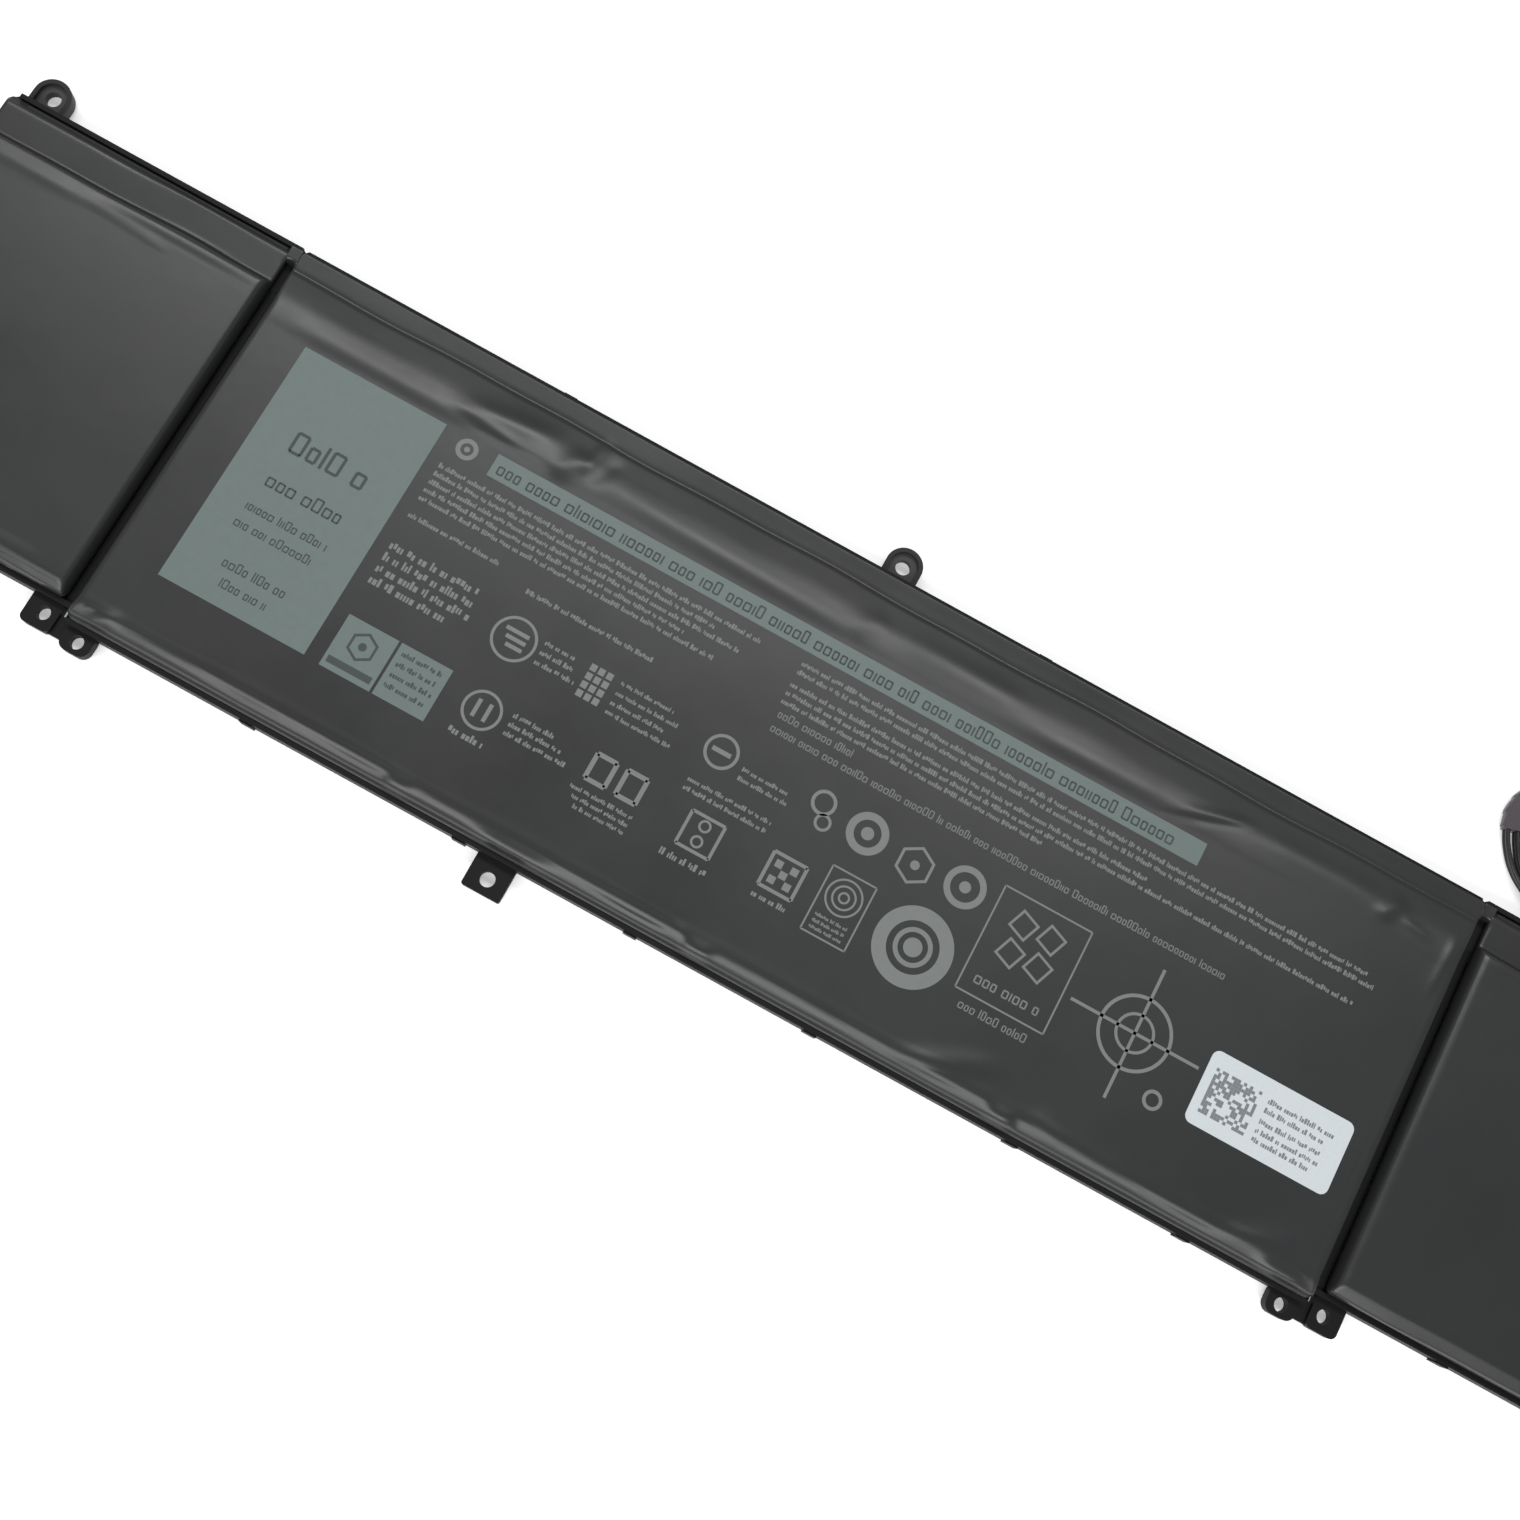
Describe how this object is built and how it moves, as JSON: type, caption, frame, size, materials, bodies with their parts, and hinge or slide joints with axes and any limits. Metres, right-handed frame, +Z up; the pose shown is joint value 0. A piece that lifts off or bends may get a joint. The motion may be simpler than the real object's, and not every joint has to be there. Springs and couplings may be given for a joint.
{
  "type": "lithium-ion battery pack",
  "caption": "Flat lithium-ion battery pack: pouch cells in a plastic frame under dark film, with screw ears, a protection board and a wired plug.",
  "frame": {"origin": "centre of the pack's underside, between the outermost ears, tab and end walls", "axes": "+X along the row of cells towards the lead's end, +Y towards the edge with the round ears, +Z up out of the printed face"},
  "size_m": [0.34, 0.1149, 0.0075],
  "materials": {
    "frame_plastic": "black, lightly textured moulding",
    "cell_pouch": "satin laminated foil",
    "nickel": "nickel strip",
    "amber_tape": "amber polyimide tape",
    "board": "green solder mask",
    "chip_epoxy": "moulded epoxy",
    "ceramic": "fired ceramic",
    "fuse_body": "ceramic base and cap",
    "solder": "bright solder",
    "cover_sheet": "black fibre sheet",
    "foam": "closed-cell foam",
    "adhesive": "double-sided adhesive",
    "film": "dark satin polyester film",
    "bottom_film": "matt black polyester film",
    "sticker": "white satin label",
    "wire_jacket": "black insulation",
    "wrap_tape": "black cloth tape",
    "plug_plastic": "black nylon",
    "contact": "gold-flashed contact"
  },
  "bodies": {
    "root": {"frame": "frame_plastic", "cell_1": "cell_pouch", "cell_2": "cell_pouch", "cell_3": "cell_pouch", "cell_4": "cell_pouch", "cell_5": "cell_pouch", "cell_6": "cell_pouch", "cell_tabs_1": "nickel", "cell_tabs_2": "nickel", "cell_tabs_3": "nickel", "cell_tabs_4": "nickel", "cell_tabs_5": "nickel", "cell_tabs_6": "nickel", "tab_tape_1": "amber_tape", "tab_tape_2": "amber_tape", "tab_tape_3": "amber_tape", "tab_tape_4": "amber_tape", "tab_tape_5": "amber_tape", "tab_tape_6": "amber_tape", "weld_pads": "nickel", "circuit_board": "board", "mosfets": "chip_epoxy", "gauge_chip": "chip_epoxy", "protection_chip": "chip_epoxy", "chemical_fuse": "fuse_body", "sense_resistor": "chip_epoxy", "capacitors": "ceramic", "thermistors": "chip_epoxy", "thermal_cutoffs": "chip_epoxy", "solder_joints": "solder", "board_cover": "cover_sheet", "gap_foam": "foam", "cell_adhesive": "adhesive", "bottom_film": "bottom_film", "top_film_left": "film", "top_film_middle": "film", "top_film_right": "film", "data_sticker": "sticker", "wire_1": "wire_jacket", "wire_2": "wire_jacket", "wire_3": "wire_jacket", "wire_4": "wire_jacket", "wire_5": "wire_jacket", "wire_6": "wire_jacket", "wire_wrap": "wrap_tape", "plug_housing": "plug_plastic", "plug_contacts": "contact"}
  },
  "joints": []
}
